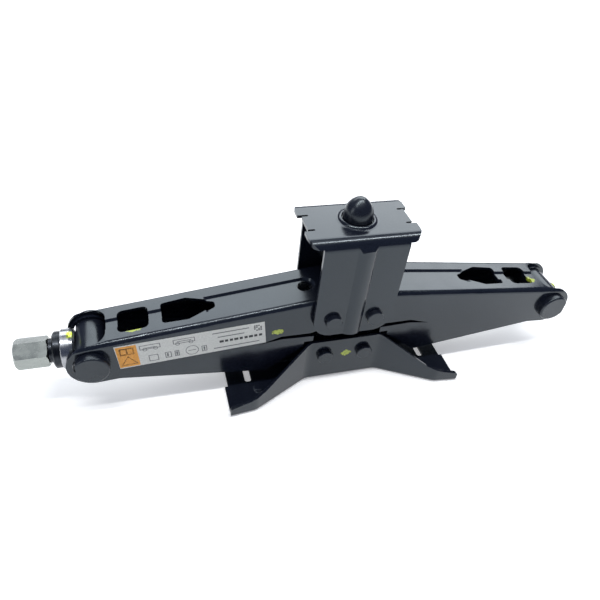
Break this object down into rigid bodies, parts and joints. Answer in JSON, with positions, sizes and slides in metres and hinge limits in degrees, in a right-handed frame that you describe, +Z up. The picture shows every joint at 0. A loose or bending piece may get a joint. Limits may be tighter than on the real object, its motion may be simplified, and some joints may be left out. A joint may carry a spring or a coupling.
{
  "type": "car jack",
  "caption": "Folding scissor jack with four pressed-steel arms, a flared base, a saddle tower with a locating stud, and a hex-driven lead screw.",
  "frame": {"origin": "centre of the base's underside, midway between the two base pivots, with the jack folded", "axes": "+X along the lead screw towards its free end, -X towards the hex head, +Y to the rear, +Z up through the locating stud"},
  "size_m": [0.4329, 0.0924, 0.153],
  "materials": {
    "coated_steel": "gloss black electro-coat over pressed steel",
    "coated_forging": "gloss black coat over turned steel",
    "zinc_hex": "dull zinc plate",
    "zinc_bright": "bright zinc plate",
    "dark_steel": "oiled dark steel",
    "bearing_steel": "ground bearing steel",
    "screw_steel": "rolled thread, greased",
    "label_film": "printed adhesive film"
  },
  "bodies": {
    "base": {"base_frame": "coated_steel", "base_rivets_left": "coated_forging", "base_rivets_right": "coated_forging"},
    "lower_arm_left": {"lower_arm_left": "coated_steel"},
    "lower_arm_right": {"lower_arm_right": "coated_steel"},
    "upper_arm_left": {"upper_arm_left": "coated_steel", "info_label": "label_film"},
    "upper_arm_right": {"upper_arm_right": "coated_steel"},
    "tower": {"tower_bracket": "coated_steel", "tower_rivets_left": "coated_forging", "tower_rivets_right": "coated_forging", "locating_stud": "coated_forging"},
    "trunnion_left": {"trunnion_left": "coated_forging", "bearing_cup": "zinc_bright", "bearing_race_fixed": "bearing_steel"},
    "trunnion_right": {"trunnion_right": "coated_forging"},
    "screw": {"lead_screw": "screw_steel", "drive_hex": "zinc_hex", "neck_sleeve": "dark_steel", "thrust_collar": "dark_steel", "bearing_race_moving": "bearing_steel"},
    "ball_set": {"bearing_balls": "bearing_steel", "ball_cage": "bearing_steel"}
  },
  "joints": [
    {"name": "lift", "type": "hinge", "parent": "base", "child": "lower_arm_left", "pos_m": [-0.016, 0, 0.026], "axis": [0, 1, 0], "range_deg": [0, 54]},
    {"name": "lower_right_fold", "type": "hinge", "parent": "base", "child": "lower_arm_right", "pos_m": [0.016, 0, 0.026], "axis": [0, 1, 0], "range_deg": [-54, 0]},
    {"name": "trunnion_left_pivot", "type": "hinge", "parent": "lower_arm_left", "child": "trunnion_left", "pos_m": [-0.184, 0, 0.0464], "axis": [0, 1, 0], "range_deg": [-54, 0]},
    {"name": "trunnion_right_pivot", "type": "hinge", "parent": "lower_arm_right", "child": "trunnion_right", "pos_m": [0.184, 0, 0.0464], "axis": [0, 1, 0], "range_deg": [0, 54]},
    {"name": "upper_left_fold", "type": "hinge", "parent": "lower_arm_left", "child": "upper_arm_left", "pos_m": [-0.184, 0, 0.0464], "axis": [0, 1, 0], "range_deg": [-108, 0]},
    {"name": "tower_pivot", "type": "hinge", "parent": "upper_arm_left", "child": "tower", "pos_m": [-0.016, 0, 0.0668], "axis": [0, 1, 0], "range_deg": [0, 54]},
    {"name": "upper_right_fold", "type": "hinge", "parent": "tower", "child": "upper_arm_right", "pos_m": [0.016, 0, 0.0668], "axis": [0, 1, 0], "range_deg": [0, 54]},
    {"name": "screw_turn", "type": "hinge", "parent": "trunnion_left", "child": "screw", "pos_m": [-0.184, 0, 0.0464], "axis": [1, 0, 0], "continuous": true},
    {"name": "ball_set_turn", "type": "hinge", "parent": "trunnion_left", "child": "ball_set", "pos_m": [-0.184, 0, 0.0464], "axis": [1, 0, 0], "continuous": true}
  ],
  "couplings": [
    {"joint": "lower_right_fold", "follows": "lift", "ratio": -1},
    {"joint": "trunnion_left_pivot", "follows": "lift", "ratio": -1},
    {"joint": "trunnion_right_pivot", "follows": "lift", "ratio": 1},
    {"joint": "upper_left_fold", "follows": "lift", "ratio": -2},
    {"joint": "tower_pivot", "follows": "lift", "ratio": 1},
    {"joint": "upper_right_fold", "follows": "lift", "ratio": 1},
    {"joint": "ball_set_turn", "follows": "screw_turn", "ratio": 0.5}
  ]
}
